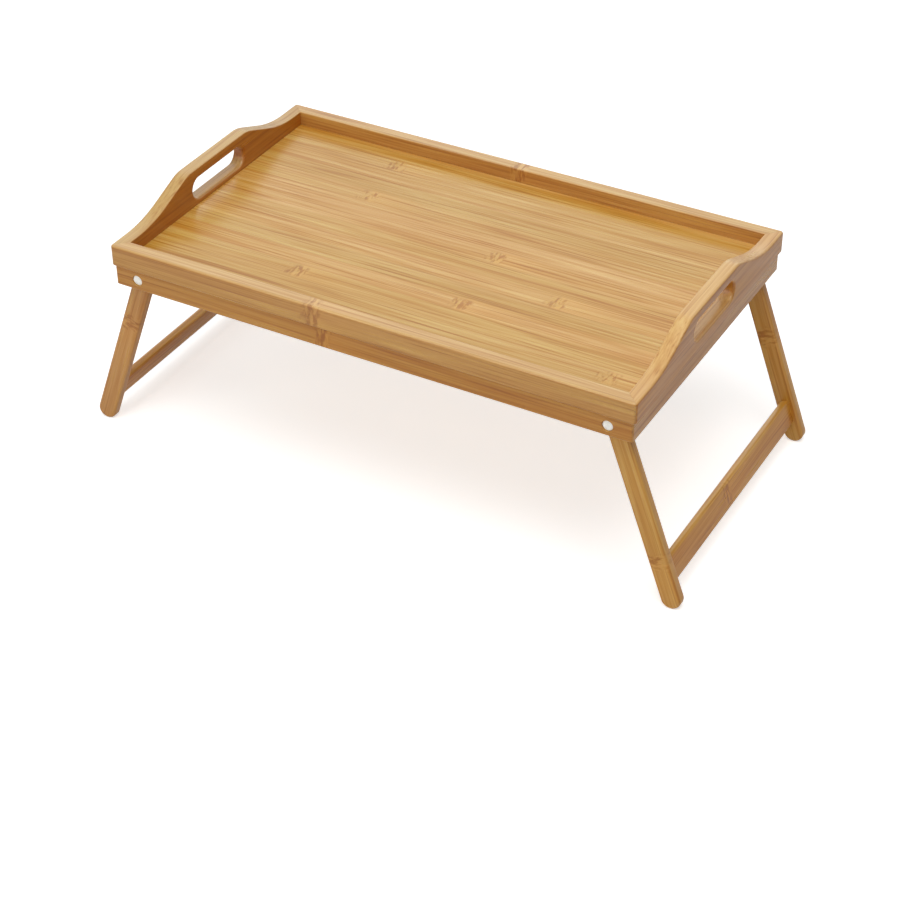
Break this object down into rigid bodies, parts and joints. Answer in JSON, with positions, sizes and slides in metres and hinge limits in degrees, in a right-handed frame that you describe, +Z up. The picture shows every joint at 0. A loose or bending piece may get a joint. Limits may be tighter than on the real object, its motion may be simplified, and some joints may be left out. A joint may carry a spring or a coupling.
{
  "type": "bed tray table",
  "caption": "Folding bamboo bed tray table: a mitred tray with raised scalloped handles and hand slots, a low apron, and two splayed leg frames that fold flat under it.",
  "frame": {"origin": "on the floor, under the middle of the tray, with the legs open", "axes": "+X along the tray's long side, +Y towards the back long rail, +Z up"},
  "size_m": [0.586, 0.3, 0.2216],
  "materials": {
    "frame_bamboo": "satin lacquered bamboo",
    "panel_bamboo": "glossy lacquered bamboo",
    "apron_bamboo": "satin lacquered bamboo",
    "leg_bamboo": "satin lacquered bamboo",
    "pale_dowel_wood": "pale end grain, unstained",
    "joint_wood": "raw bamboo, hidden"
  },
  "bodies": {
    "tray": {"front_rail": "frame_bamboo", "back_rail": "frame_bamboo", "left_end_board": "frame_bamboo", "right_end_board": "frame_bamboo", "tray_panel": "panel_bamboo", "front_apron_rail": "apron_bamboo", "back_apron_rail": "apron_bamboo", "left_apron_rail": "apron_bamboo", "right_apron_rail": "apron_bamboo", "mitre_keys": "joint_wood", "apron_splines": "joint_wood"},
    "left_leg_frame": {"front_left_leg": "leg_bamboo", "back_left_leg": "leg_bamboo", "left_crossbar": "leg_bamboo", "front_left_pivot_dowel": "pale_dowel_wood", "back_left_pivot_dowel": "pale_dowel_wood"},
    "right_leg_frame": {"front_right_leg": "leg_bamboo", "back_right_leg": "leg_bamboo", "right_crossbar": "leg_bamboo", "front_right_pivot_dowel": "pale_dowel_wood", "back_right_pivot_dowel": "pale_dowel_wood"}
  },
  "joints": [
    {"name": "left_leg_fold", "type": "hinge", "parent": "tray", "child": "left_leg_frame", "pos_m": [-0.22515, 0, 0.17063], "axis": [0, -1, 0], "range_deg": [0, 110]},
    {"name": "right_leg_fold", "type": "hinge", "parent": "tray", "child": "right_leg_frame", "pos_m": [0.22515, 0, 0.17063], "axis": [0, 1, 0], "range_deg": [0, 110]}
  ]
}
